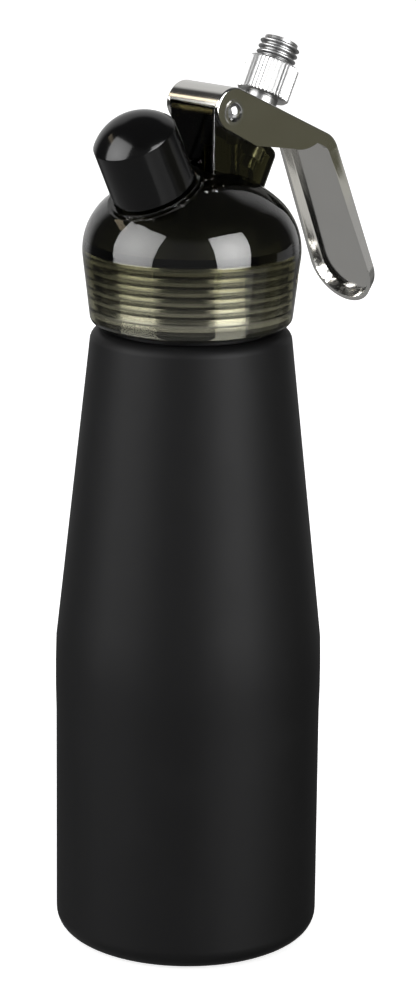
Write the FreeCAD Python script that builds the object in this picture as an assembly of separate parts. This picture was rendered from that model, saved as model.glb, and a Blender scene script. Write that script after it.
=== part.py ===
import FreeCAD, Part
import math
import os

from FreeCAD import Placement, Rotation, Vector

# Cream whipper: an aluminium bottle, a screw-on head of smoked polymer with a spout, a gas inlet
# and a squeeze lever.  Millimetres.  The origin is the centre of the bottle's base, +Z is up,
# the spout leans towards -X and the lever hangs towards +X.  Everything that leans does so in
# the plane y = 0.

# ------------------------------------------------------------------ driving dimensions
# bottle
BOTTLE_R = 40.0                # straight side
BOTTLE_SHOULDER_Z = 188.9      # top of the shoulder, where the neck starts
BOTTLE_STRAIGHT_Z = 70.0       # top of the straight side
BOTTLE_TAPER_Z = 94.0          # start of the taper
BOTTLE_BULGE = 0.2             # swell between the straight side and the taper
BOTTLE_TOP_R = 29.7            # taper's radius carried up to the shoulder's top
BOTTLE_BASE_ROUND = 6.4
BOTTLE_SHOULDER_ROUND = 3.0
BOTTLE_WALL = 1.2
BOTTLE_FLOOR = 2.0
NECK_R = 24.6
NECK_WALL = 2.0
NECK_H = 18.1
NECK_THREAD_PITCH = 3.0
NECK_THREAD_DEPTH = 0.8
NECK_THREAD_TURNS = 5
NECK_THREAD_LAND = 1.2         # plain neck over the thread

# head shell
HEAD_GAP = 1.5                 # open joint between the shoulder and the skirt's rim
SKIRT_H = 22.1                 # rim to the widest level
SKIRT_TAPER_DEG = 6.8          # the skirt narrows downwards at this angle
SKIRT_ROUND = 2.2
DOME_R = 32.3
DOME_H = 24.5                  # widest level to the crown
DOME_SHOULDER_R = 19.5         # tighter arc at the widest level, in line with skirt and crown
DOME_WALL = 3.2
SEAT_R = 21.0                  # open throat inside the gasket's seat
SEAT_THICKNESS = 5.2

# metal thread ring in the skirt
RING_WALL = 3.1
RING_RECESS = 0.8              # rim of the skirt to the ring's lower face
RING_GROOVE_WIDTH = 0.8
RING_GROOVE_DEPTH = 0.5
RING_GROOVE_FIRST = 6.7        # ring's lower face to the first groove
RING_GROOVES = 5
RING_TOP_RELIEF = 2.7          # ring reaches this far past the gasket's seat

GASKET_T = 2.8
GASKET_WALL = 3.3

# lever pivot, and the tower that carries it
PIVOT_X = 6.3
PIVOT_RISE = 16.6              # crown of the dome to the pivot
PIVOT_R = 2.0
BUSHING_WALL = 0.7
TOWER_FRONT_X = -0.7
TOWER_FRONT_RISE = 1.7         # top of the front face above the pivot
TOWER_SHELF_DROP = 3.8         # shelf behind the pivot, below it
TOWER_BACK_WALL = 1.0          # behind the valve rod's guide
TOWER_EDGE_ROUND = 0.8
TOWER_ROOT = 2.5               # the tower goes on below the dome's inner crown

# lever: a steel channel that rolls over the pivot and bends down into a blade
LEVER_WIDTH = 21.2
LEVER_T = 1.3
HOOD_R = 7.2
HOOD_FRONT_DEG = 160.0         # where the rolled front ends, about the pivot
WEB_SLOPE_DEG = 24.4
BLADE_SLOPE_DEG = 66.2
WEB_L = 44.6                   # rolled hood's tangent point to the bend's corner
BLADE_L = 56.2                 # bend's corner to the blade's tip
BEND_R = 9.0
EAR_BELOW = 5.4                # flange below the pivot at the ear
EAR_FRONT_R = 5.8              # the ear's front corner, about the pivot
EAR_FRONT_DEG = 210.0
FLANGE_DEEP_AT = 13.3          # the flange's deepest place along the web
FLANGE_DEEP = 13.2
FLANGE_ARC_BEFORE = 16.0       # start of the rounded run-out, before the bend's corner
FLANGE_ARC_DEEP = 9.1
FLANGE_END_BEFORE = 6.7        # end of the rounded run-out
FLANGE_ARC_SWELL = 1.0         # how far the run-out bulges past its chord
BLADE_FLANGE = 4.2
BLADE_FLARE = 1.5              # the blade's flanges open outwards this far at the tip
LEVER_EDGE_ROUND = 0.7
STEM_HOLE_R = 8.2
STEM_HOLE_AT = 20.6            # along the web
RIVET_HEAD_R = 2.9
RIVET_HEAD_H = 1.5
RIVET_COLLAR_R = 3.7
RIVET_COLLAR_H = 0.35

# valve, upright behind the pivot
VALVE_ARM = 7.0                # pivot to the valve's axis
ROD_R = 1.75
ROD_TOP_GAP = 0.15             # to the lever's web
ROD_TAIL = 2.8                 # past the cage's floor
GUIDE_R = 3.2
GUIDE_L = 4.8
ROD_SEAL_T = 2.0
CHAMBER_R = 4.0
CHAMBER_H = 12.5
VALVE_SEAT_BORE_R = 3.0
VALVE_SEAT_T = 2.5
VALVE_SEAL_T = 1.2
POPPET_R = 4.3
POPPET_T = 2.0
NUT_R = 3.0
NUT_T = 2.0
POST_WALL = 3.1                # head's post around the chamber
POST_NECK_WALL = 1.2           # around the chamber inside the cage
CAGE_WALL = 1.1
CAGE_GRIP = 4.0                # length of the cage round the post's neck
CAGE_BELOW = 13.8              # gasket's seat to the cage's lower face
CAGE_WINDOWS = 4
CAGE_WINDOW_W = 4.0
CAGE_WINDOW_H = 7.0
SPRING_WIRE_R = 0.4
SPRING_R = 3.8                 # to the wire's centre
SPRING_TURNS = 5

# spout
SPOUT_LEAN_DEG = 27.25
SPOUT_FOOT_DROP = 10.5          # widest level down to where the axis meets the bottle's axis
COLLAR_R = 14.7
COLLAR_TOP = 34.3              # all spout levels are distances along its axis from the foot
COLLAR_STEP_W = 0.9
COLLAR_STEP_H = 1.0
SPOUT_R = 8.0
SPOUT_L = 8.8                  # beyond the collar
SPOUT_BORE_R = 4.2
SPOUT_BORE_START = 14.1
SPOUT_WALL_IN_DOME = 2.8
CROSS_BORE_R = 3.0
CROSS_WALL = 2.0
CROSS_RISE = 6.5               # cross passage above the widest level

# nozzle and cap
CAP_R = 12.65
CAP_TOP_R = 12.45
CAP_SIDE = 17.5
CAP_CROWN = 6.3
CAP_WALL = 1.7
CAP_EDGE_ROUND = 0.7
CAP_LIFT = 0.5                 # cap's rim above the collar
NOZZLE_SEAL_T = 1.0
ADAPTER_TOP_T = 1.0
ADAPTER_LIFT = 1.2             # adapter's rim above the collar
TIP_BASE_R = 7.0
TIP_END_R = 4.2
TIP_L = 8.6
TIP_WALL = 0.9
TIP_SLOTS = 6
TIP_SLOT_L = 4.5
TIP_SLOT_W = 1.6

# gas inlet
INLET_LEAN_DEG = 27.5
INLET_FOOT_DROP = 12.9         # widest level down to where the axis meets the bottle's axis
BOSS_R = 9.8
BOSS_TOP = 48.2                # all inlet levels are distances along its axis from the foot
BOSS_ROUND = 2.0
SHANK_R = 4.6
SHANK_L = 5.0
SPIGOT_R = 3.0
SPIGOT_L = 3.2
GAS_BORE_R = 1.0
INLET_SEAL_T = 1.2
STEM_COLLAR_R = 5.6
STEM_COLLAR_T = 1.8
STEM_R = 5.0
GRIP_FROM = 62.2
GRIP_L = 10.9
GRIP_R = 8.0
GRIP_FLUTES = 44
GRIP_FLUTE_DEPTH = 0.45
GRIP_CHAMFER = 0.8
UNDERCUT_R = 4.8
UNDERCUT_L = 0.8
CHARGER_THREAD_R = 6.1
CHARGER_THREAD_PITCH = 1.75
CHARGER_THREAD_DEPTH = 1.0
CHARGER_THREAD_TURNS = 3
CHARGER_LIP = 0.8
SOCKET_R = 3.9
SOCKET_L = 6.1
PIN_R = 2.2
PIN_L = 5.0
PIN_BORE_R = 0.45
NEEDLE_R = 1.0
NEEDLE_TIP_R = 0.6
NEEDLE_L = 4.0
FILTER_T = 2.0
CHARGER_GASKET_T = 2.0
CHARGER_GASKET_BORE_R = 1.6
CHECK_POCKET_R = 2.4
CHECK_POCKET_L = 4.5
CHECK_BALL_R = 1.8
CHECK_BORE_R = 1.2
RETAINER_T = 0.8
RETAINER_BORE_R = 0.9

# clearances
RUNNING = 0.05                 # radial, shafts that turn or slide
THREAD_CLEAR = 0.1             # radial, crest to crest of the screwed joints
THREAD_CREST = 0.2             # flat crest of a thread, as a share of its pitch
THREAD_BASE = 0.7              # foot of a thread's ridge, as a share of its pitch
LEVER_SIDE = 0.3               # each side, between the lever's ears and the tower
END_CLEAR = 0.3                # below the ends of what screws in, and round the stem's collar

# ------------------------------------------------------------------ derived places
HEAD_Z = BOTTLE_SHOULDER_Z + HEAD_GAP
WIDEST_Z = HEAD_Z + SKIRT_H
CROWN_Z = WIDEST_Z + DOME_H
NECK_TOP_Z = BOTTLE_SHOULDER_Z + NECK_H
SEAT_Z = NECK_TOP_Z + GASKET_T
CREST_R = NECK_R + NECK_THREAD_DEPTH
RING_BORE_R = CREST_R + THREAD_CLEAR
RING_R = RING_BORE_R + RING_WALL
RING_Z = HEAD_Z + RING_RECESS
RING_TOP_Z = SEAT_Z + RING_TOP_RELIEF

PIVOT = Vector(PIVOT_X, 0, CROWN_Z + PIVOT_RISE)
TOWER_HALF = LEVER_WIDTH / 2 - LEVER_T - LEVER_SIDE
TOWER_EAR_R = HOOD_R - LEVER_T - LEVER_SIDE
SHELF_Z = PIVOT.z - TOWER_SHELF_DROP

VALVE_X = PIVOT_X + VALVE_ARM
CAGE_Z = SEAT_Z - CAGE_BELOW
CAGE_FLOOR_Z = CAGE_Z + CAGE_WALL
POPPET_TOP_Z = SEAT_Z - VALVE_SEAL_T
POPPET_Z = POPPET_TOP_Z - POPPET_T
POST_NECK_R = CHAMBER_R + POST_NECK_WALL
CAGE_R = POST_NECK_R + CAGE_WALL
GUIDE_TOP_Z = SHELF_Z
GUIDE_Z = GUIDE_TOP_Z - GUIDE_L
ROD_SEAL_Z = GUIDE_Z - ROD_SEAL_T

SPOUT_FOOT = Vector(0, 0, WIDEST_Z - SPOUT_FOOT_DROP)
INLET_FOOT = Vector(0, 0, WIDEST_Z - INLET_FOOT_DROP)
STEM_BOTTOM = BOSS_TOP - SHANK_L - SPIGOT_L
GRIP_TOP = GRIP_FROM + GRIP_L
CHARGER_THREAD_L = CHARGER_THREAD_PITCH * CHARGER_THREAD_TURNS + CHARGER_LIP
STEM_TOP = GRIP_TOP + UNDERCUT_L + CHARGER_THREAD_L
SOCKET_FLOOR = STEM_TOP - SOCKET_L
FILTER_FROM = SOCKET_FLOOR - PIN_L - FILTER_T

UP = Vector(0, 0, 1)
ALONG_Y = Vector(0, 1, 0)
SAME = 1e-6                    # two places closer than this are one


# ------------------------------------------------------------------ small helpers
def at(r, z):
    """A point of a profile in the half plane y = 0, x > 0."""
    return Vector(r, 0, z)


def line(a, b):
    return Part.LineSegment(a, b).toShape()


def arc(a, through, b):
    return Part.Arc(a, through, b).toShape()


def polygon(points):
    return Part.makePolygon(list(points) + [points[0]])


def turned(points):
    """Solid of revolution about Z from a closed run of (radius, height) points."""
    wire = polygon([at(r, z) for r, z in points])
    return Part.Face(wire).revolve(Vector(), UP, 360)


def turned_edges(edges):
    """Solid of revolution about Z from edges that close a profile."""
    return Part.Face(Part.Wire(edges)).revolve(Vector(), UP, 360)


def rod(radius, z0, z1, x=0.0):
    return Part.makeCylinder(radius, z1 - z0, Vector(x, 0, z0))


def tube(outer, inner, z0, z1, x=0.0):
    return rod(outer, z0, z1, x).cut(rod(inner, z0, z1, x))


def leaned(shape, foot, degrees):
    """Stands a piece, drawn upright along Z, on an axis that leans from Z towards +X."""
    moved = shape.copy()
    moved.Placement = Placement(foot, Rotation(ALONG_Y, degrees))
    return moved


def on_spout(shape):
    return leaned(shape, SPOUT_FOOT, -SPOUT_LEAN_DEG)


def on_inlet(shape):
    return leaned(shape, INLET_FOOT, INLET_LEAN_DEG)


def across(face_wire, half_width):
    """Extrudes an outline in the plane y = 0 to both sides of it."""
    face = Part.Face(face_wire)
    face.translate(Vector(0, -half_width, 0))
    return face.extrude(Vector(0, 2 * half_width, 0))


def thread_ridges(root, crest, first_z, pitch, turns):
    """Ring-shaped ridges, one per turn, with sloping flanks."""
    flat = pitch * THREAD_CREST
    base = pitch * THREAD_BASE
    core = root - THREAD_CLEAR
    ridges = []
    for turn in range(turns):
        mid = first_z + (turn + 0.5) * pitch
        ridges.append(turned([(core, mid - base / 2), (root, mid - base / 2),
                              (crest, mid - flat / 2), (crest, mid + flat / 2),
                              (root, mid + base / 2), (core, mid + base / 2)]))
    return ridges


# ------------------------------------------------------------------ bottle
def taper_radius(z):
    """Outside radius of the bottle's taper at a height."""
    share = (z - BOTTLE_TAPER_Z) / (BOTTLE_SHOULDER_Z - BOTTLE_TAPER_Z)
    return BOTTLE_R + share * (BOTTLE_TOP_R - BOTTLE_R)


def bottle_profile(inset, floor_z, corner, top_z, top_r):
    """Closed profile of the bottle's side and neck, moved inwards by inset."""
    side = BOTTLE_R - inset
    top = BOTTLE_TOP_R - inset
    shoulder_z = BOTTLE_SHOULDER_Z - inset
    bend = BOTTLE_SHOULDER_ROUND - inset
    mid_z = (BOTTLE_STRAIGHT_Z + BOTTLE_TAPER_Z) / 2
    diagonal = 1 - math.sqrt(0.5)
    base_mid = at(side - corner * diagonal, floor_z + corner * diagonal)
    bend_mid = at(top - bend * diagonal, shoulder_z - bend * diagonal)
    drop = taper_radius(shoulder_z - bend) - BOTTLE_TOP_R
    points = [at(0, floor_z), at(side - corner, floor_z), at(side, floor_z + corner),
              at(side, BOTTLE_STRAIGHT_Z), at(side, BOTTLE_TAPER_Z),
              at(top + drop, shoulder_z - bend), at(top - bend, shoulder_z),
              at(top_r, shoulder_z), at(top_r, top_z), at(0, top_z)]
    bulge = at(side + BOTTLE_BULGE, mid_z)
    return [line(points[0], points[1]), arc(points[1], base_mid, points[2]),
            line(points[2], points[3]), arc(points[3], bulge, points[4]),
            line(points[4], points[5]), arc(points[5], bend_mid, points[6]),
            line(points[6], points[7]), line(points[7], points[8]),
            line(points[8], points[9]), line(points[9], points[0])]


def make_bottle():
    outside = turned_edges(bottle_profile(0, 0, BOTTLE_BASE_ROUND, NECK_TOP_Z, NECK_R))
    inside = turned_edges(bottle_profile(BOTTLE_WALL, BOTTLE_FLOOR, BOTTLE_BASE_ROUND - BOTTLE_WALL,
                                         NECK_TOP_Z + 1, NECK_R - NECK_WALL))
    first = NECK_TOP_Z - NECK_THREAD_LAND - NECK_THREAD_PITCH * NECK_THREAD_TURNS
    ridges = thread_ridges(NECK_R, CREST_R, first, NECK_THREAD_PITCH, NECK_THREAD_TURNS)
    return outside.cut(inside).fuse(ridges)


# ------------------------------------------------------------------ head shell
def dome_arcs(wall):
    """Crown and shoulder arcs of the dome's side at a depth under its skin.

    Two arcs in line with each other: the shoulder starts where the skirt's taper leaves it and
    the crown closes on the bottle's axis.  Returns the two edges and the shoulder's lower end.
    """
    centre_r = DOME_R - DOME_SHOULDER_R
    crown = (centre_r ** 2 + DOME_H ** 2 - DOME_SHOULDER_R ** 2) / (2 * (DOME_H - DOME_SHOULDER_R))
    turn = math.atan2(crown - DOME_H, centre_r)
    low = -math.radians(SKIRT_TAPER_DEG)

    def on_shoulder(angle):
        reach = DOME_SHOULDER_R - wall
        return at(centre_r + reach * math.cos(angle), WIDEST_Z + reach * math.sin(angle))

    def on_crown(angle):
        reach = crown - wall
        return at(reach * math.cos(angle), WIDEST_Z + DOME_H - crown + reach * math.sin(angle))

    shoulder = arc(on_shoulder(low), on_shoulder((low + turn) / 2), on_shoulder(turn))
    middle = on_crown((turn + math.pi / 2) / 2)
    top = at(0, CROWN_Z - wall)
    return [shoulder, arc(on_shoulder(turn), middle, top)], on_shoulder(low)


def dome_solid():
    """Skirt and dome as one solid of revolution."""
    arcs, taper_top = dome_arcs(0)
    flare = math.tan(math.radians(SKIRT_TAPER_DEG))
    rim_r = taper_top.x - flare * (taper_top.z - HEAD_Z)
    rim_up = at(rim_r + flare * SKIRT_ROUND, HEAD_Z + SKIRT_ROUND)
    diagonal = SKIRT_ROUND * (1 - math.sqrt(0.5))
    rim_in = at(rim_r - SKIRT_ROUND, HEAD_Z)
    rim_mid = at(rim_r - diagonal, HEAD_Z + diagonal)
    edges = [line(at(0, HEAD_Z), rim_in), arc(rim_in, rim_mid, rim_up), line(rim_up, taper_top)]
    edges += arcs + [line(at(0, CROWN_Z), at(0, HEAD_Z))]
    return turned_edges(edges)


def dome_space(wall):
    """The inside of the dome at a depth under its skin, down to the gasket's seat."""
    arcs, low = dome_arcs(wall)
    edges = [line(at(0, low.z), low)] + arcs + [line(at(0, CROWN_Z - wall), at(0, low.z))]
    return turned_edges(edges)


def tower_outline():
    """Side outline of the tower: front face, ear over the pivot, and the shelf behind it."""
    foot_z = CROWN_Z - DOME_WALL - TOWER_ROOT
    front_top_z = PIVOT.z + TOWER_FRONT_RISE
    ear_front_x = PIVOT.x - math.sqrt(TOWER_EAR_R ** 2 - TOWER_FRONT_RISE ** 2)
    ear_front = at(ear_front_x, front_top_z)
    ear_top = at(PIVOT.x, PIVOT.z + TOWER_EAR_R)
    ear_back = at(PIVOT.x + TOWER_EAR_R, PIVOT.z)
    ear_foot = at(PIVOT.x + TOWER_EAR_R, SHELF_Z)
    shelf_end_x = VALVE_X + GUIDE_R + TOWER_BACK_WALL
    points = [at(TOWER_FRONT_X, foot_z), at(TOWER_FRONT_X, front_top_z), ear_front]
    tail = [ear_back, ear_foot, at(shelf_end_x, SHELF_Z), at(shelf_end_x, foot_z), points[0]]
    edges = [line(points[0], points[1]), line(points[1], points[2])]
    edges.append(arc(ear_front, ear_top, ear_back))
    edges += [line(a, b) for a, b in zip(tail[:-1], tail[1:])]
    return Part.Wire(edges)


def make_tower():
    tower = across(tower_outline(), TOWER_HALF)
    front = [e for e in tower.Edges
             if abs(e.BoundBox.XMax - TOWER_FRONT_X) < SAME and e.BoundBox.ZLength > 1]
    return tower.makeFillet(TOWER_EDGE_ROUND, front)


def make_inlet_boss():
    start = BOSS_TOP - SHANK_L - SPIGOT_L - 2 * DOME_WALL
    boss = rod(BOSS_R, start, BOSS_TOP)
    rim = [e for e in boss.Edges if abs(e.BoundBox.ZMin - BOSS_TOP) < SAME]
    boss = on_inlet(boss.makeFillet(BOSS_ROUND, rim))
    reach = 4 * BOSS_TOP
    slab = Part.makeBox(reach, 2 * TOWER_HALF, reach, Vector(-reach / 2, -TOWER_HALF, 0))
    slab.translate(Vector(0, 0, WIDEST_Z))
    return boss.common(slab)


def make_collar():
    step_z = COLLAR_TOP - COLLAR_STEP_H
    shape = rod(COLLAR_R, SPOUT_BORE_START, step_z)
    shape = shape.fuse(rod(COLLAR_R - COLLAR_STEP_W, step_z, COLLAR_TOP))
    return on_spout(shape)


def head_hollow():
    """The space inside the head: the ring's seat, the gasket's seat, the throat and the dome."""
    cavity_z = SEAT_Z + SEAT_THICKNESS
    below = HEAD_Z - 1
    seat = turned([(0, below), (RING_R, below), (RING_R, RING_TOP_Z), (RING_BORE_R, RING_TOP_Z),
                   (RING_BORE_R, SEAT_Z), (SEAT_R, SEAT_Z), (SEAT_R, cavity_z), (0, cavity_z)])
    above = rod(DOME_R, cavity_z, CROWN_Z)
    return seat.fuse(dome_space(DOME_WALL).common(above))


def inner_ducts():
    """Posts and tubes inside the dome that carry the valve chamber and the way to the spout."""
    neck_top = SEAT_Z + CAGE_GRIP
    cross_z = WIDEST_Z + CROSS_RISE
    post = rod(CHAMBER_R + POST_WALL, neck_top, SHELF_Z, VALVE_X)
    neck = rod(POST_NECK_R, SEAT_Z, neck_top, VALVE_X)
    spout = on_spout(rod(SPOUT_BORE_R + SPOUT_WALL_IN_DOME, SPOUT_BORE_START - SPOUT_WALL_IN_DOME,
                         COLLAR_TOP))
    spout_x = -(cross_z - SPOUT_FOOT.z) * math.tan(math.radians(SPOUT_LEAN_DEG))
    cross = Part.makeCylinder(CROSS_BORE_R + CROSS_WALL, VALVE_X - spout_x,
                              Vector(spout_x, 0, cross_z), Vector(1, 0, 0))
    stem_floor = on_inlet(rod(SPIGOT_R + CROSS_WALL, STEM_BOTTOM - DOME_WALL, BOSS_TOP - SHANK_L))
    skirt = rod(SEAT_R, HEAD_Z, WIDEST_Z)
    return post.fuse([neck, spout, cross, stem_floor]).common(skirt.fuse(dome_space(DOME_WALL / 2)))


def head_bores():
    """Every drilled or cored hole of the head."""
    cross_z = WIDEST_Z + CROSS_RISE
    spout_x = -(cross_z - SPOUT_FOOT.z) * math.tan(math.radians(SPOUT_LEAN_DEG))
    far = PIVOT.z + HOOD_R
    bores = [
        rod(CHAMBER_R, SEAT_Z - 1, SEAT_Z + CHAMBER_H, VALVE_X),
        rod(ROD_R + RUNNING, SEAT_Z, far, VALVE_X),
        rod(GUIDE_R, ROD_SEAL_Z, far, VALVE_X),
        Part.makeCylinder(CROSS_BORE_R, VALVE_X - spout_x, Vector(spout_x, 0, cross_z), Vector(1, 0, 0)),
        on_spout(rod(SPOUT_BORE_R, SPOUT_BORE_START, COLLAR_TOP + SPOUT_L)),
        Part.makeCylinder(PIVOT_R + RUNNING + BUSHING_WALL, LEVER_WIDTH,
                          PIVOT - ALONG_Y * (LEVER_WIDTH / 2), ALONG_Y),
        on_inlet(rod(SHANK_R + THREAD_CLEAR, BOSS_TOP - SHANK_L - END_CLEAR, BOSS_TOP + 1)),
        on_inlet(rod(SPIGOT_R + THREAD_CLEAR, STEM_BOTTOM - END_CLEAR, BOSS_TOP)),
        on_inlet(rod(STEM_COLLAR_R + END_CLEAR, BOSS_TOP, GRIP_FROM)),
    ]
    floor = INLET_FOOT + Rotation(ALONG_Y, INLET_LEAN_DEG).multVec(Vector(0, 0, STEM_BOTTOM))
    outlet_x = floor.x + SPIGOT_R / 2
    bores.append(rod(GAS_BORE_R, WIDEST_Z, floor.z, outlet_x))
    return bores


def make_head_shell():
    outside = dome_solid().fuse([make_tower(), make_inlet_boss(), make_collar()])
    spout = on_spout(rod(SPOUT_R, COLLAR_TOP - COLLAR_STEP_H, COLLAR_TOP + SPOUT_L))
    shell = outside.cut(head_hollow())
    shell = shell.fuse([inner_ducts(), spout])
    return shell.cut(head_bores()).removeSplitter()


# ------------------------------------------------------------------ what sits in the head
def make_thread_ring():
    ring = tube(RING_R, RING_BORE_R, RING_Z, RING_TOP_Z)
    cuts = []
    for number in range(RING_GROOVES):
        z = RING_Z + RING_GROOVE_FIRST + number * NECK_THREAD_PITCH
        cuts.append(tube(RING_R + 1, RING_R - RING_GROOVE_DEPTH, z - RING_GROOVE_WIDTH / 2,
                         z + RING_GROOVE_WIDTH / 2))
    first = NECK_TOP_Z - NECK_THREAD_LAND - NECK_THREAD_PITCH * NECK_THREAD_TURNS
    cuts += thread_ridges(RING_BORE_R, RING_BORE_R + NECK_THREAD_DEPTH, first, NECK_THREAD_PITCH,
                          NECK_THREAD_TURNS)
    return ring.cut(cuts)


def make_head_gasket():
    return tube(NECK_R, NECK_R - GASKET_WALL, NECK_TOP_Z, SEAT_Z)


def make_valve_seat():
    return tube(CHAMBER_R, VALVE_SEAT_BORE_R, SEAT_Z, SEAT_Z + VALVE_SEAT_T, VALVE_X)


def make_valve_cage():
    cage = rod(CAGE_R, CAGE_Z, SEAT_Z + CAGE_GRIP, VALVE_X)
    cage = cage.cut(rod(POST_NECK_R, CAGE_FLOOR_Z, SEAT_Z + CAGE_GRIP, VALVE_X))
    cage = cage.cut(rod(ROD_R + RUNNING, CAGE_Z, CAGE_FLOOR_Z, VALVE_X))
    for number in range(CAGE_WINDOWS):
        window = Part.makeBox(CAGE_R + 1, CAGE_WINDOW_W, CAGE_WINDOW_H,
                              Vector(0, -CAGE_WINDOW_W / 2, CAGE_FLOOR_Z + CAGE_WALL))
        window.rotate(Vector(), UP, 45 + number * 360 / CAGE_WINDOWS)
        hollow = window.translated(Vector(VALVE_X, 0, 0))
        cage = cage.cut(hollow)
    return cage


def make_valve_spring():
    """Coil between the cage's floor and the poppet, with its ends on the two flat faces."""
    height = POPPET_Z - CAGE_FLOOR_Z - 2 * SPRING_WIRE_R
    helix = Part.makeHelix(height / SPRING_TURNS, height, SPRING_R)
    start = helix.Edges[0].valueAt(helix.Edges[0].FirstParameter)
    lead = helix.Edges[0].tangentAt(helix.Edges[0].FirstParameter)
    wire = Part.Wire(Part.makeCircle(SPRING_WIRE_R, start, lead))
    coil = Part.Wire(helix.Edges).makePipeShell([wire], True, True)
    return coil.translated(Vector(VALVE_X, 0, CAGE_FLOOR_Z + SPRING_WIRE_R))


def rod_top_z():
    """Top of the rod's round end, which meets the sloping web beside the valve's axis."""
    slope = math.radians(WEB_SLOPE_DEG)
    reach = HOOD_R - LEVER_T - ROD_TOP_GAP - ROD_R
    return PIVOT.z + (reach - VALVE_ARM * math.sin(slope)) / math.cos(slope) + ROD_R


def make_valve_rod():
    top = rod_top_z()
    shape = rod(ROD_R, CAGE_Z - ROD_TAIL, top - ROD_R, VALVE_X)
    ball = Part.makeSphere(ROD_R, Vector(VALVE_X, 0, top - ROD_R))
    return shape.fuse(ball).removeSplitter()


def make_valve_poppet():
    return tube(POPPET_R, ROD_R, POPPET_Z, POPPET_TOP_Z, VALVE_X)


def make_valve_seal():
    return tube(CHAMBER_R, ROD_R, POPPET_TOP_Z, SEAT_Z, VALVE_X)


def make_poppet_nut():
    corners = [Vector(VALVE_X + NUT_R * math.cos(k * math.pi / 3), NUT_R * math.sin(k * math.pi / 3),
                      POPPET_Z - NUT_T) for k in range(6)]
    nut = Part.Face(polygon(corners)).extrude(Vector(0, 0, NUT_T))
    return nut.cut(rod(ROD_R, POPPET_Z - NUT_T, POPPET_Z, VALVE_X))


def make_rod_guide():
    return tube(GUIDE_R, ROD_R + RUNNING, GUIDE_Z, GUIDE_TOP_Z, VALVE_X)


def make_rod_seal():
    return tube(GUIDE_R, ROD_R + RUNNING, ROD_SEAL_Z, GUIDE_Z, VALVE_X)


def make_pivot_bushing():
    start = PIVOT - ALONG_Y * TOWER_HALF
    outer = Part.makeCylinder(PIVOT_R + RUNNING + BUSHING_WALL, 2 * TOWER_HALF, start, ALONG_Y)
    return outer.cut(Part.makeCylinder(PIVOT_R + RUNNING, 2 * TOWER_HALF, start, ALONG_Y))


# ------------------------------------------------------------------ lever
def heading(degrees):
    """Unit vector that points down a slope towards +X."""
    turn = math.radians(degrees)
    return Vector(math.cos(turn), 0, -math.sin(turn))


def inward(degrees):
    """Unit vector at right angles to heading(), towards the bottle."""
    turn = math.radians(degrees)
    return Vector(-math.sin(turn), 0, -math.cos(turn))


def web_point(along, depth):
    foot = PIVOT - inward(WEB_SLOPE_DEG) * HOOD_R
    return foot + heading(WEB_SLOPE_DEG) * along + inward(WEB_SLOPE_DEG) * depth


def blade_point(along, depth):
    corner = web_point(WEB_L, 0)
    return corner + heading(BLADE_SLOPE_DEG) * along + inward(BLADE_SLOPE_DEG) * depth


def round_pivot(radius, degrees):
    turn = math.radians(degrees)
    return PIVOT + Vector(radius * math.cos(turn), 0, radius * math.sin(turn))


def bend_run():
    """The bend takes up this much of the web and of the blade."""
    return BEND_R * math.tan(math.radians(BLADE_SLOPE_DEG - WEB_SLOPE_DEG) / 2)


def bend_points(depth):
    """Start, middle and end of the bend's arc at a depth under the outer skin."""
    start = web_point(WEB_L - bend_run(), depth)
    end = blade_point(bend_run(), depth)
    centre = web_point(WEB_L - bend_run(), BEND_R)
    middle_slope = (BLADE_SLOPE_DEG + WEB_SLOPE_DEG) / 2
    middle = centre - inward(middle_slope) * (BEND_R - depth)
    return start, middle, end


def lever_skin(depth, end):
    """The lever's line from the rolled front to a place on the blade, at a depth under its skin."""
    radius = HOOD_R - depth
    front = round_pivot(radius, HOOD_FRONT_DEG)
    mid = round_pivot(radius, (HOOD_FRONT_DEG + 90 - WEB_SLOPE_DEG) / 2)
    back = web_point(0, depth)
    bend = bend_points(depth)
    return [arc(front, mid, back), line(back, bend[0]), arc(*bend),
            line(bend[2], blade_point(end, depth))]


def lever_outline():
    """Side outline of the whole lever, flanges included."""
    end = BLADE_L + BLADE_FLARE
    inner = bend_points(BLADE_FLANGE)
    arc_from = WEB_L - FLANGE_ARC_BEFORE
    arc_to = WEB_L - FLANGE_END_BEFORE
    run_out = web_point(arc_to, BLADE_FLANGE)
    arc_start = web_point(arc_from, FLANGE_ARC_DEEP)
    chord = math.atan2(FLANGE_ARC_DEEP - BLADE_FLANGE, arc_to - arc_from)
    arc_mid = web_point((arc_from + arc_to) / 2 + FLANGE_ARC_SWELL * math.sin(chord),
                        (FLANGE_ARC_DEEP + BLADE_FLANGE) / 2 + FLANGE_ARC_SWELL * math.cos(chord))
    deep = web_point(FLANGE_DEEP_AT, FLANGE_DEEP)
    ear_foot = web_point(0, HOOD_R + EAR_BELOW)
    ear_front = round_pivot(EAR_FRONT_R, EAR_FRONT_DEG)
    return Part.Wire(lever_skin(0, end) + [
        line(blade_point(end, 0), blade_point(end, BLADE_FLANGE)),
        line(blade_point(end, BLADE_FLANGE), inner[2]),
        arc(inner[2], inner[1], inner[0]), line(inner[0], run_out),
        arc(run_out, arc_mid, arc_start), line(arc_start, deep), line(deep, ear_foot),
        arc(ear_foot, ear_front, round_pivot(HOOD_R, HOOD_FRONT_DEG))])


def lever_channel():
    """Outline of the space under the web and inside the flanges."""
    reach = WEB_L + BLADE_L
    tip = blade_point(reach, LEVER_T)
    low = blade_point(reach, reach)
    ahead = round_pivot(reach, HOOD_FRONT_DEG)
    front = round_pivot(HOOD_R - LEVER_T, HOOD_FRONT_DEG)
    return Part.Wire(lever_skin(LEVER_T, reach) + [line(tip, low), line(low, ahead),
                                                   line(ahead, front)])


def flared(half_width, depth, flare):
    """Half width at a depth under the skin, where the free edge stands out by the flare."""
    return half_width + flare * depth / BLADE_FLANGE


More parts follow.
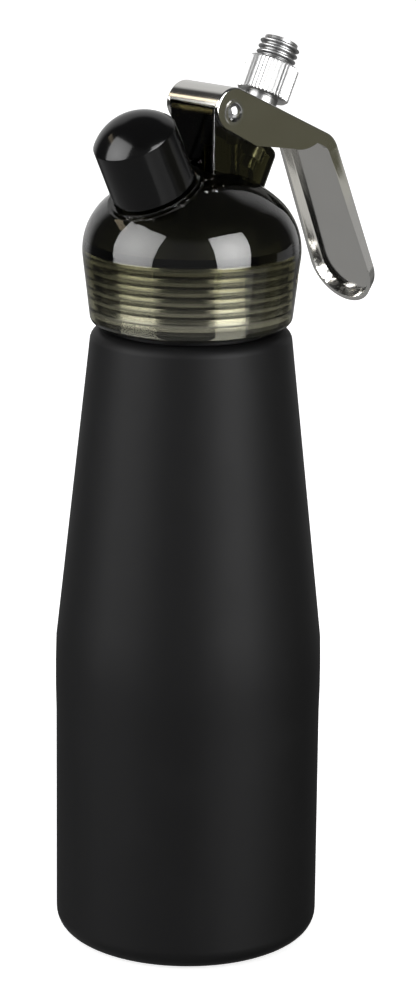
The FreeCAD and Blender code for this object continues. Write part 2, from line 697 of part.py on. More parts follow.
def blade_section(along, half_width, flare):
    """Across the blade: the given width at the skin, and wider towards the free edge."""
    above, below = -LEVER_T, 2 * BLADE_FLANGE
    near = ALONG_Y * flared(half_width, above, flare)
    far = ALONG_Y * flared(half_width, below, flare)
    top, foot = blade_point(along, above), blade_point(along, below)
    return polygon([top - near, top + near, foot + far, foot - far])


def blade_plan(half_width):
    """Three bodies that cover a half width: the blade's flares and it ends in a half round."""
    end = BLADE_L - LEVER_WIDTH / 2
    start = bend_run()
    reach = WEB_L + BLADE_L
    slab = Part.makeBox(2 * reach, 2 * half_width, 2 * reach,
                        Vector(-reach, -half_width, -start))
    slab.Placement = Placement(web_point(WEB_L, 0), Rotation(ALONG_Y, BLADE_SLOPE_DEG - 90))
    blade = Part.makeLoft([blade_section(start, half_width, 0),
                           blade_section(end, half_width, BLADE_FLARE)], True, True)
    above, below = -LEVER_T, 2 * BLADE_FLANGE
    tip = Part.makeCone(flared(half_width, above, BLADE_FLARE),
                        flared(half_width, below, BLADE_FLARE), below - above,
                        blade_point(end, above), inward(BLADE_SLOPE_DEG))
    return [slab, blade, tip]


def within_plan(shape, half_width):
    """The part of a shape that lies inside the lever's plan."""
    first, *rest = [shape.common(part) for part in blade_plan(half_width)]
    return first.fuse(rest).removeSplitter()


def make_lever():
    half = LEVER_WIDTH / 2
    body = within_plan(across(lever_outline(), half + BLADE_FLARE), half)
    skin = Part.Wire(lever_skin(0, BLADE_L))
    body = body.makeFillet(LEVER_EDGE_ROUND, [e for e in body.Edges if is_skin_edge(e, skin)])
    channel = within_plan(across(lever_channel(), half + BLADE_FLARE), half - LEVER_T)
    hole = Part.makeCylinder(STEM_HOLE_R, 3 * LEVER_T, web_point(STEM_HOLE_AT, -LEVER_T),
                             inward(WEB_SLOPE_DEG))
    rivet = Part.makeCylinder(PIVOT_R, LEVER_WIDTH, PIVOT - ALONG_Y * half, ALONG_Y)
    return body.cut([channel, hole, rivet])


def is_skin_edge(edge, skin):
    """Whether an edge runs where the outer skin turns down into the flanges or the tip."""
    middle = edge.valueAt((edge.FirstParameter + edge.LastParameter) / 2)
    beside = skin.distToShape(Part.Vertex(middle.x, 0, middle.z))[0]
    crosses = edge.Curve.TypeId == "Part::GeomLine" and edge.BoundBox.YLength > LEVER_T
    return beside < SAME and not crosses


def make_pivot_rivet():
    half = LEVER_WIDTH / 2
    shank = Part.makeCylinder(PIVOT_R, LEVER_WIDTH, PIVOT - ALONG_Y * half, ALONG_Y)
    parts = []
    for side in (-1, 1):
        face = PIVOT + ALONG_Y * (side * half)
        outward = ALONG_Y * side
        collar = Part.makeCylinder(RIVET_COLLAR_R, RIVET_COLLAR_H, face, outward)
        ball_r = (RIVET_HEAD_R ** 2 + RIVET_HEAD_H ** 2) / (2 * RIVET_HEAD_H)
        ball = Part.makeSphere(ball_r, face + outward * (RIVET_COLLAR_H + RIVET_HEAD_H - ball_r))
        limit = Part.makeCylinder(RIVET_HEAD_R, RIVET_HEAD_H + RIVET_COLLAR_H, face, outward)
        parts += [collar, ball.common(limit)]
    return shank.fuse(parts).removeSplitter()


# ------------------------------------------------------------------ gas inlet
def make_inlet_stem():
    root = CHARGER_THREAD_R - CHARGER_THREAD_DEPTH
    collar_z = BOSS_TOP + INLET_SEAL_T
    profile = [(0, STEM_BOTTOM), (SPIGOT_R, STEM_BOTTOM), (SPIGOT_R, BOSS_TOP - SHANK_L),
               (SHANK_R, BOSS_TOP - SHANK_L), (SHANK_R, collar_z), (STEM_COLLAR_R, collar_z),
               (STEM_COLLAR_R, collar_z + STEM_COLLAR_T), (STEM_R, collar_z + STEM_COLLAR_T),
               (STEM_R, GRIP_TOP), (UNDERCUT_R, GRIP_TOP), (UNDERCUT_R, GRIP_TOP + UNDERCUT_L),
               (root, GRIP_TOP + UNDERCUT_L), (root, STEM_TOP), (0, STEM_TOP)]
    body = turned(profile)
    body = body.fuse(thread_ridges(root, CHARGER_THREAD_R, GRIP_TOP + UNDERCUT_L,
                                   CHARGER_THREAD_PITCH, CHARGER_THREAD_TURNS))
    bores = [rod(CHECK_POCKET_R, STEM_BOTTOM, STEM_BOTTOM + CHECK_POCKET_L),
             rod(CHECK_BORE_R, STEM_BOTTOM, SOCKET_FLOOR), rod(PIN_R, FILTER_FROM, SOCKET_FLOOR),
             rod(SOCKET_R, SOCKET_FLOOR, STEM_TOP)]
    return on_inlet(body.cut(bores))


def make_knurled_grip():
    corners = []
    for k in range(2 * GRIP_FLUTES):
        radius = GRIP_R - (GRIP_FLUTE_DEPTH if k % 2 else 0)
        turn = k * math.pi / GRIP_FLUTES
        corners.append(Vector(radius * math.cos(turn), radius * math.sin(turn), GRIP_FROM))
    fluted = Part.Face(polygon(corners)).extrude(Vector(0, 0, GRIP_L))
    limit = turned([(STEM_R, GRIP_FROM), (GRIP_R - GRIP_CHAMFER, GRIP_FROM),
                    (GRIP_R, GRIP_FROM + GRIP_CHAMFER), (GRIP_R, GRIP_TOP - GRIP_CHAMFER),
                    (GRIP_R - GRIP_CHAMFER, GRIP_TOP), (STEM_R, GRIP_TOP)])
    return on_inlet(fluted.common(limit))


def make_piercing_pin():
    needle_foot = FILTER_FROM + FILTER_T + PIN_L
    pin = turned([(PIN_BORE_R, needle_foot - PIN_L), (PIN_R, needle_foot - PIN_L),
                  (PIN_R, needle_foot), (NEEDLE_R, needle_foot),
                  (NEEDLE_TIP_R, needle_foot + NEEDLE_L), (PIN_BORE_R, needle_foot + NEEDLE_L)])
    return on_inlet(pin)


def make_gas_filter():
    return on_inlet(rod(PIN_R, FILTER_FROM, FILTER_FROM + FILTER_T))


def make_charger_gasket():
    return on_inlet(tube(SOCKET_R, CHARGER_GASKET_BORE_R, SOCKET_FLOOR, SOCKET_FLOOR + CHARGER_GASKET_T))


def make_check_ball():
    """The ball at rest, just clear of the rim of the retainer's hole."""
    rise = math.sqrt(CHECK_BALL_R ** 2 - RETAINER_BORE_R ** 2)
    centre = STEM_BOTTOM + RETAINER_T + rise + RUNNING
    return on_inlet(Part.makeSphere(CHECK_BALL_R, Vector(0, 0, centre)))


def make_check_retainer():
    return on_inlet(tube(CHECK_POCKET_R, RETAINER_BORE_R, STEM_BOTTOM, STEM_BOTTOM + RETAINER_T))


def make_inlet_seal():
    return on_inlet(tube(STEM_COLLAR_R, SHANK_R, BOSS_TOP, BOSS_TOP + INLET_SEAL_T))


# ------------------------------------------------------------------ nozzle and cap
def make_nozzle_seal():
    end = COLLAR_TOP + SPOUT_L
    return on_spout(tube(SPOUT_R, SPOUT_BORE_R, end, end + NOZZLE_SEAL_T))


def make_nozzle_adapter():
    end = COLLAR_TOP + SPOUT_L + NOZZLE_SEAL_T
    outer = CAP_R - CAP_WALL - THREAD_CLEAR
    ring = turned([(SPOUT_R + THREAD_CLEAR, COLLAR_TOP + ADAPTER_LIFT),
                   (outer, COLLAR_TOP + ADAPTER_LIFT), (outer, end + ADAPTER_TOP_T),
                   (SPOUT_BORE_R, end + ADAPTER_TOP_T), (SPOUT_BORE_R, end),
                   (SPOUT_R + THREAD_CLEAR, end)])
    return on_spout(ring)


def make_star_nozzle():
    base = COLLAR_TOP + SPOUT_L + NOZZLE_SEAL_T + ADAPTER_TOP_T
    top = base + TIP_L
    tip = turned([(TIP_BASE_R - TIP_WALL, base), (TIP_BASE_R, base), (TIP_END_R, top),
                  (TIP_END_R - TIP_WALL, top)])
    for k in range(TIP_SLOTS):
        slot = Part.makeBox(TIP_BASE_R, TIP_SLOT_W, TIP_SLOT_L, Vector(0, -TIP_SLOT_W / 2, top - TIP_SLOT_L))
        slot.rotate(Vector(), UP, k * 360 / TIP_SLOTS)
        tip = tip.cut(slot)
    return on_spout(tip)


def make_spout_cap():
    base = COLLAR_TOP + CAP_LIFT
    edge = base + CAP_SIDE
    inner_r = CAP_R - CAP_WALL
    inner_edge = edge - CAP_WALL / 2
    outer_mid = crown_point(CAP_TOP_R, CAP_CROWN, edge)
    inner_mid = crown_point(inner_r, CAP_CROWN - CAP_WALL / 2, inner_edge)
    outer = turned_edges([
        line(at(0, base), at(CAP_R, base)), line(at(CAP_R, base), at(CAP_TOP_R, edge)),
        arc(at(CAP_TOP_R, edge), outer_mid, at(0, edge + CAP_CROWN)),
        line(at(0, edge + CAP_CROWN), at(0, base))])
    rim = [e for e in outer.Edges
           if abs(e.BoundBox.ZMin - edge) < SAME and abs(e.BoundBox.ZMax - edge) < SAME]
    outer = outer.makeFillet(CAP_EDGE_ROUND, rim)
    inner_top = inner_edge + CAP_CROWN - CAP_WALL / 2
    inner = turned_edges([
        line(at(0, base), at(inner_r, base)), line(at(inner_r, base), at(inner_r, inner_edge)),
        arc(at(inner_r, inner_edge), inner_mid, at(0, inner_top)), line(at(0, inner_top), at(0, base))])
    return on_spout(outer.cut(inner))


def crown_point(radius, height, base_z):
    """A point half way up the arc that rises by height over a circle of that radius."""
    ball = (radius ** 2 + height ** 2) / (2 * height)
    half_turn = math.asin(radius / ball) / 2
    return at(ball * math.sin(half_turn), base_z + height - ball * (1 - math.cos(half_turn)))


# ------------------------------------------------------------------ build
PIECES = {
    "bottle": make_bottle,
    "head_shell": make_head_shell,
    "thread_ring": make_thread_ring,
    "head_gasket": make_head_gasket,
    "valve_seat": make_valve_seat,
    "valve_cage": make_valve_cage,
    "valve_spring": make_valve_spring,
    "valve_rod": make_valve_rod,
    "valve_poppet": make_valve_poppet,
    "valve_seal": make_valve_seal,
    "poppet_nut": make_poppet_nut,
    "rod_guide": make_rod_guide,
    "rod_seal": make_rod_seal,
    "pivot_bushing": make_pivot_bushing,
    "lever": make_lever,
    "pivot_rivet": make_pivot_rivet,
    "inlet_stem": make_inlet_stem,
    "knurled_grip": make_knurled_grip,
    "piercing_pin": make_piercing_pin,
    "gas_filter": make_gas_filter,
    "charger_gasket": make_charger_gasket,
    "check_ball": make_check_ball,
    "check_retainer": make_check_retainer,
    "inlet_seal": make_inlet_seal,
    "nozzle_seal": make_nozzle_seal,
    "nozzle_adapter": make_nozzle_adapter,
    "star_nozzle": make_star_nozzle,
    "spout_cap": make_spout_cap,
}

os.makedirs("parts", exist_ok=True)
for name, make in PIECES.items():
    shape = make()
    shape.exportStep("parts/" + name + ".step")
    print(name, shape.ShapeType, len(shape.Solids), shape.isValid(), round(shape.Volume, 2))
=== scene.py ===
"""Whipped cream dispenser: finishes, a turned ring, studio light and camera round the CAD assembly.

The CAD assembly gives every piece its shape but one, the ring of turned aluminium in the head,
which is made here with its finer grooves. This script dresses the pieces, lays a pale studio floor
in a white surround with soft boxes, and places the camera.
All lengths are in metres, in the frame of the assembly.
"""

import logging
import math
from dataclasses import dataclass, field
from enum import Enum

import bpy
from mathutils import Matrix, Vector

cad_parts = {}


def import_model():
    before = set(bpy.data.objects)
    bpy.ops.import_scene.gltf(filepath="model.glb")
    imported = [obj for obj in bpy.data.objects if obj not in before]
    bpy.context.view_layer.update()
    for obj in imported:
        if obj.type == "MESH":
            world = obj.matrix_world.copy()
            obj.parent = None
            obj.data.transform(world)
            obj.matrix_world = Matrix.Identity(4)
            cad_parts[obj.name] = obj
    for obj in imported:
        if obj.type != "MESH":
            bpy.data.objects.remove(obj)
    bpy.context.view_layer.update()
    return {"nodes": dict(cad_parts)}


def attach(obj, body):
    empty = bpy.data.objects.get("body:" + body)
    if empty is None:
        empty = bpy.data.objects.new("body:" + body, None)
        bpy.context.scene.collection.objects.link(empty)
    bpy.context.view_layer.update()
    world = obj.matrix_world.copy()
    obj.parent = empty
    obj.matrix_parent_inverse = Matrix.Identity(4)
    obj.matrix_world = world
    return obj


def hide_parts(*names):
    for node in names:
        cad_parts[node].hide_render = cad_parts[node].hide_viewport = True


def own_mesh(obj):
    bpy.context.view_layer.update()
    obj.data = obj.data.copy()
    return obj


LOG = logging.getLogger("dispenser")
LAMP_AIM = (0.0, 0.0, 0.2)  # the lamps face the bottle's axis at this height

Colour = tuple[float, float, float]
Span = tuple[float, float]
Profile = list[tuple[float, float]]


class Grain(Enum):
    """Which way the fine lines of a finish run, as a stretch of the noise along X, Y and Z."""

    ROUND = (1.0, 1.0, 26.0)
    UPRIGHT = (26.0, 26.0, 1.0)
    ACROSS = (26.0, 1.0, 26.0)
    EVEN = (1.0, 1.0, 1.0)


class LampUse(Enum):
    """What a lamp is for: shading matt surfaces, or showing as a patch in gloss."""

    FILL = "fill"
    MIRRORED = "mirrored"


# ------------------------------------------------------------------ shader building
class NodeSheet:
    """A node tree that is filled from left to right with short calls."""

    def __init__(self, tree: bpy.types.NodeTree) -> None:
        """Keeps the tree that the calls add to."""
        self.tree = tree

    def add(self, kind: str, **values: object) -> bpy.types.Node:
        """Adds a node.

        Args:
            kind: the node's type, such as ShaderNodeBump.
            values: properties of the node, or values of its input sockets with spaces as _.

        Returns:
            The new node.
        """
        node = self.tree.nodes.new(kind)
        for name in [n for n in values if hasattr(node, n)]:
            setattr(node, name, values.pop(name))
        sockets = {s.name.replace(" ", "_"): s for s in reversed(node.inputs)}
        for name, value in values.items():
            sockets[name].default_value = value
        return node

    def join(self, source: bpy.types.NodeSocket, target: bpy.types.NodeSocket) -> None:
        """Links one socket to another."""
        self.tree.links.new(source, target)

    def math(self, operation: str, first: object, second: object = 0.0) -> bpy.types.NodeSocket:
        """Adds a Math node.

        Args:
            operation: the node's operation, such as MULTIPLY.
            first: a socket or a number.
            second: a socket or a number.

        Returns:
            The node's output socket.
        """
        node = self.tree.nodes.new("ShaderNodeMath")
        node.operation = operation
        for socket, value in zip(node.inputs, (first, second)):
            if isinstance(value, bpy.types.NodeSocket):
                self.join(value, socket)
            else:
                socket.default_value = value
        return node.outputs[0]


def new_group(
    name: str, inputs: dict[str, tuple[str, object]], outputs: dict[str, str]
) -> bpy.types.NodeTree:
    """Makes an empty shader node group with named sockets.

    Args:
        name: the group's name.
        inputs: socket name to its type and default value.
        outputs: socket name to its type.

    Returns:
        The group's tree, with its Group Input and Group Output nodes in place.
    """
    group = bpy.data.node_groups.new(name, "ShaderNodeTree")
    for label, (kind, default) in inputs.items():
        socket = group.interface.new_socket(label, in_out="INPUT", socket_type=kind)
        socket.default_value = default
    for label, kind in outputs.items():
        group.interface.new_socket(label, in_out="OUTPUT", socket_type=kind)
    group.nodes.new("NodeGroupInput").name = "in"
    group.nodes.new("NodeGroupOutput").name = "out"
    return group


FLOAT = "NodeSocketFloat"
VECTOR = "NodeSocketVector"
RGBA = "NodeSocketColor"


@dataclass
class SurfaceEffects:
    """The node groups that the finishes share, each built once."""

    lines: bpy.types.NodeTree = field(init=False)
    speckle: bpy.types.NodeTree = field(init=False)
    handling: bpy.types.NodeTree = field(init=False)
    tone: bpy.types.NodeTree = field(init=False)

    def __post_init__(self) -> None:
        """Builds the groups."""
        self.lines = self.build_lines()
        self.speckle = self.build_speckle()
        self.handling = self.build_handling()
        self.tone = self.build_tone()

    @staticmethod
    def build_lines() -> bpy.types.NodeTree:
        """Fine lines left by turning, brushing or drawing.

        Returns:
            A group with a Height output from 0 to 1.
        """
        group = new_group(
            "FineLines",
            {"Stretch": (VECTOR, (1.0, 1.0, 1.0)), "Scale": (FLOAT, 900.0)},
            {"Height": FLOAT},
        )
        sheet = NodeSheet(group)
        given, out = group.nodes["in"], group.nodes["out"]
        place = sheet.add("ShaderNodeTexCoord")
        stretched = sheet.add("ShaderNodeVectorMath", operation="MULTIPLY")
        fine = sheet.add("ShaderNodeTexNoise", Detail=3.0, Roughness=0.65)
        sheet.join(place.outputs["Object"], stretched.inputs[0])
        sheet.join(given.outputs["Stretch"], stretched.inputs[1])
        sheet.join(stretched.outputs[0], fine.inputs["Vector"])
        sheet.join(given.outputs["Scale"], fine.inputs["Scale"])
        sheet.join(fine.outputs["Fac"], out.inputs["Height"])
        return group

    @staticmethod
    def build_speckle() -> bpy.types.NodeTree:
        """Even fine grain of a sprayed, blasted or moulded surface.

        Returns:
            A group with a Height output.
        """
        group = new_group("FineSpeckle", {"Scale": (FLOAT, 2500.0)}, {"Height": FLOAT})
        sheet = NodeSheet(group)
        given, out = group.nodes["in"], group.nodes["out"]
        place = sheet.add("ShaderNodeTexCoord")
        cells = sheet.add("ShaderNodeTexVoronoi", feature="SMOOTH_F1", Smoothness=0.6)
        noise = sheet.add("ShaderNodeTexNoise", Detail=2.0)
        for texture in (cells, noise):
            sheet.join(place.outputs["Object"], texture.inputs["Vector"])
            sheet.join(given.outputs["Scale"], texture.inputs["Scale"])
        total = sheet.math("ADD", cells.outputs["Distance"], noise.outputs["Fac"])
        sheet.join(sheet.math("MULTIPLY", total, 0.5), out.inputs["Height"])
        return group

    @staticmethod
    def build_handling() -> bpy.types.NodeTree:
        """Faint smears that hands leave on a smooth surface.

        Returns:
            A group whose Roughness output is the clean roughness with smears added.
        """
        group = new_group(
            "HandlingMarks",
            {"Clean": (FLOAT, 0.1), "Smear": (FLOAT, 0.1), "Scale": (FLOAT, 60.0)},
            {"Roughness": FLOAT},
        )
        sheet = NodeSheet(group)
        given, out = group.nodes["in"], group.nodes["out"]
        place = sheet.add("ShaderNodeTexCoord")
        noise = sheet.add("ShaderNodeTexNoise", Detail=5.0, Roughness=0.6, Distortion=0.7)
        ramp = sheet.add("ShaderNodeMapRange", From_Min=0.48, From_Max=0.75)
        sheet.join(place.outputs["Object"], noise.inputs["Vector"])
        sheet.join(given.outputs["Scale"], noise.inputs["Scale"])
        sheet.join(noise.outputs["Fac"], ramp.inputs["Value"])
        smear = sheet.math("MULTIPLY", ramp.outputs["Result"], given.outputs["Smear"])
        sheet.join(sheet.math("ADD", given.outputs["Clean"], smear), out.inputs["Roughness"])
        return group

    @staticmethod
    def build_tone() -> bpy.types.NodeTree:
        """A colour that wanders a little from place to place.

        Returns:
            A group with a Colour output.
        """
        group = new_group(
            "ToneDrift",
            {
                "Colour": (RGBA, (0.5, 0.5, 0.5, 1.0)),
                "Drift": (FLOAT, 0.1),
                "Scale": (FLOAT, 40.0),
            },
            {"Colour": RGBA},
        )
        sheet = NodeSheet(group)
        given, out = group.nodes["in"], group.nodes["out"]
        place = sheet.add("ShaderNodeTexCoord")
        noise = sheet.add("ShaderNodeTexNoise", Detail=4.0)
        shift = sheet.add("ShaderNodeHueSaturation")
        sheet.join(place.outputs["Object"], noise.inputs["Vector"])
        sheet.join(given.outputs["Scale"], noise.inputs["Scale"])
        centred = sheet.math("SUBTRACT", noise.outputs["Fac"], 0.5)
        scaled = sheet.math("MULTIPLY", centred, given.outputs["Drift"])
        sheet.join(sheet.math("ADD", scaled, 1.0), shift.inputs["Value"])
        sheet.join(given.outputs["Colour"], shift.inputs["Color"])
        sheet.join(shift.outputs["Color"], out.inputs["Colour"])
        return group


# ------------------------------------------------------------------ finishes
@dataclass(frozen=True)
class Finish:
    """A finish of the dispenser: plain values of its shader and the effects on it."""

    name: str
    colour: Colour
    roughness: float
    metallic: float = 0.0
    drift: float = 0.12
    drift_scale: float = 45.0
    smear: float = 0.06
    smear_scale: float = 60.0
    bump: float = 0.1
    bump_depth: float = 0.00002
    grain_scale: float = 2500.0
    ior: float = 1.47
    specular: float = 0.5

    def height(self, sheet: NodeSheet, effects: SurfaceEffects) -> bpy.types.NodeSocket:
        """The socket that gives the surface's fine relief."""
        speckle = sheet.add("ShaderNodeGroup", node_tree=effects.speckle, Scale=self.grain_scale)
        return speckle.outputs["Height"]

    def build(self, effects: SurfaceEffects) -> bpy.types.Material:
        """Makes the material.

        Args:
            effects: the shared node groups.

        Returns:
            The finished material.
        """
        material = bpy.data.materials.new(self.name)
        material.use_nodes = True
        sheet = NodeSheet(material.node_tree)
        shader = material.node_tree.nodes["Principled BSDF"]
        shader.inputs["Metallic"].default_value = self.metallic
        shader.inputs["IOR"].default_value = self.ior
        shader.inputs["Specular IOR Level"].default_value = self.specular
        tone = sheet.add("ShaderNodeGroup", node_tree=effects.tone)
        tone.inputs["Colour"].default_value = (*self.colour, 1.0)
        tone.inputs["Drift"].default_value = self.drift
        tone.inputs["Scale"].default_value = self.drift_scale
        sheet.join(tone.outputs["Colour"], shader.inputs["Base Color"])
        marks = sheet.add("ShaderNodeGroup", node_tree=effects.handling)
        marks.inputs["Clean"].default_value = self.roughness
        marks.inputs["Smear"].default_value = self.smear
        marks.inputs["Scale"].default_value = self.smear_scale
        sheet.join(marks.outputs["Roughness"], shader.inputs["Roughness"])
        relief = sheet.add("ShaderNodeBump", Strength=self.bump, Distance=self.bump_depth)
        sheet.join(self.height(sheet, effects), relief.inputs["Height"])
        sheet.join(relief.outputs["Normal"], shader.inputs["Normal"])
        self.refine(material, shader)
        return material

    def refine(self, material: bpy.types.Material, shader: bpy.types.Node) -> None:
        """Sets what only one kind of finish needs; a plain finish needs nothing."""


@dataclass(frozen=True)
class SprayedCoat(Finish):
    """A matt, soft-touch paint with the even grain of dried spray."""

    grain_scale: float = 2600.0


@dataclass(frozen=True)
class WorkedMetal(Finish):
    """A metal with the fine lines of turning, brushing or drawing.

    Its cavity value is how much painted shade darkens the bottoms of its grooves. They are told
    from its ridges by the surface's pointiness, which goes through pointiness_span from one to the
    other.
    """

    metallic: float = 1.0
    grain: Grain = Grain.EVEN
    line_scale: float = 900.0
    cavity: float = 0.0
    pointiness_span: Span = (0.44, 0.53)

    def height(self, sheet: NodeSheet, effects: SurfaceEffects) -> bpy.types.NodeSocket:
        """The relief of the tool lines."""
        lines = sheet.add("ShaderNodeGroup", node_tree=effects.lines)
        lines.inputs["Stretch"].default_value = self.grain.value
        lines.inputs["Scale"].default_value = self.line_scale
        return lines.outputs["Height"]

    def refine(self, material: bpy.types.Material, shader: bpy.types.Node) -> None:
        """Paints shade into the bottoms of grooves, where less light gets in.

        Args:
            material: the material, whose colour is already joined.
            shader: its Principled BSDF.
        """
        if not self.cavity:
            return
        sheet = NodeSheet(material.node_tree)
        # painted shade: the base colour is scaled down in the grooves that pointiness finds
        relief = sheet.add("ShaderNodeNewGeometry")
        low, high = self.pointiness_span
        depth = sheet.add("ShaderNodeMapRange", From_Min=low, From_Max=high)
        depth.inputs["To Min"].default_value = 1.0 - self.cavity
        sheet.join(relief.outputs["Pointiness"], depth.inputs["Value"])
        shaded = sheet.add("ShaderNodeVectorMath", operation="SCALE")
        sheet.join(shader.inputs["Base Color"].links[0].from_socket, shaded.inputs[0])
        sheet.join(depth.outputs["Result"], shaded.inputs["Scale"])
        sheet.join(shaded.outputs[0], shader.inputs["Base Color"])


@dataclass(frozen=True)
class SmokedPolymer(Finish):
    """A clear, deeply tinted moulding: thin walls let light through and thick ones look black."""

    tint: Colour = (0.32, 0.311, 0.152)
    density: float = 400.0

    def refine(self, material: bpy.types.Material, shader: bpy.types.Node) -> None:
        """Makes the shader clear and fills the solid with the tint.

        Args:
            material: the material.
            shader: its Principled BSDF.
        """
        shader.inputs["Transmission Weight"].default_value = 1.0
        nodes = material.node_tree.nodes
        absorb = nodes.new("ShaderNodeVolumeAbsorption")
        absorb.inputs["Color"].default_value = (*self.tint, 1.0)
        absorb.inputs["Density"].default_value = self.density
        output = nodes["Material Output"]
        material.node_tree.links.new(absorb.outputs["Volume"], output.inputs["Volume"])


# ------------------------------------------------------------------ sub-assemblies
@dataclass
class SubAssembly:
    """A group of CAD pieces that are dressed together.

    A CAD mesh has its own points on each side of a face's border. Those nearer than join_gap are
    joined, and an edge sharper than crease_deg then stays sharp or is rounded.
    """

    effects: SurfaceEffects
    nodes: dict[str, bpy.types.Object]
    join_gap: float = 0.000004
    crease_deg: float = 32.0
    round_segments: int = 2

    def dress(
        self, node: str, material: bpy.types.Material, edge_round: float = 0.0
    ) -> bpy.types.Object:
        """Gives a CAD piece its finish and smooth shading between its creases.

        Args:
            node: the piece's name.
            material: its finish.
            edge_round: width of the small rounding on its sharp edges; 0 leaves them sharp.

        Returns:
            The dressed piece.
        """
        piece = self.nodes[node]
        piece.data.materials.clear()
        piece.data.materials.append(material)
        piece.data.shade_smooth()
        join = piece.modifiers.new("join_faces", "WELD")
        join.merge_threshold = self.join_gap
        if edge_round:
            self.round_edges(piece, edge_round)
        else:
            part = piece.modifiers.new("part_creases", "EDGE_SPLIT")
            part.split_angle = math.radians(self.crease_deg)
            part.use_edge_sharp = False
        weigh = piece.modifiers.new("even_normals", "WEIGHTED_NORMAL")
        weigh.keep_sharp = True
        LOG.info("%s: %s", node, material.name)
        return piece

    def round_edges(self, piece: bpy.types.Object, width: float) -> None:
        """Breaks a piece's sharp edges, as tumbling or a mould's corner does.

        Args:
            piece: the piece.
            width: the width of the rounding.
        """
        bevel = piece.modifiers.new("broken_edges", "BEVEL")
        bevel.limit_method = "ANGLE"
        bevel.angle_limit = math.radians(self.crease_deg)
        bevel.width = width
        bevel.segments = self.round_segments
        bevel.miter_outer = "MITER_ARC"
        bevel.harden_normals = False


def turned_mesh(
    name: str, profile: Profile, segments: int = 200, crease_deg: float = 35.0
) -> bpy.types.Object:
    """Turns a closed profile about the Z axis.

    Args:
        name: the new piece's name.
        profile: (radius, height) of each corner, in order round the profile.
        segments: divisions of the turn.
        crease_deg: an edge sharper than this stays sharp.

    Returns:
        The turned piece, smooth between its creases.
    """
    verts = []
    for step in range(segments):
        turn = step * math.tau / segments
        verts += [(r * math.cos(turn), r * math.sin(turn), z) for r, z in profile]
    count = len(profile)
    faces = []
    for step in range(segments):
        here, there = step * count, (step + 1) % segments * count
        for k in range(count):
            after = (k + 1) % count
            faces.append((here + k, there + k, there + after, here + after))
    mesh = bpy.data.meshes.new(name)
    mesh.from_pydata(verts, [], faces)
    mesh.shade_smooth()
    mesh.set_sharp_from_angle(angle=math.radians(crease_deg))
    piece = bpy.data.objects.new(name, mesh)
    bpy.context.scene.collection.objects.link(piece)
    return piece


@dataclass
class Bottle(SubAssembly):
    """The pressure bottle."""

    coat: SprayedCoat = SprayedCoat(
        "bottle_coat", (0.008, 0.008, 0.0083), 0.48, smear=0.05, bump=0.12, specular=0.1
    )

    def build(self) -> None:
        """Dresses the bottle."""
        self.dress("bottle", self.coat.build(self.effects))


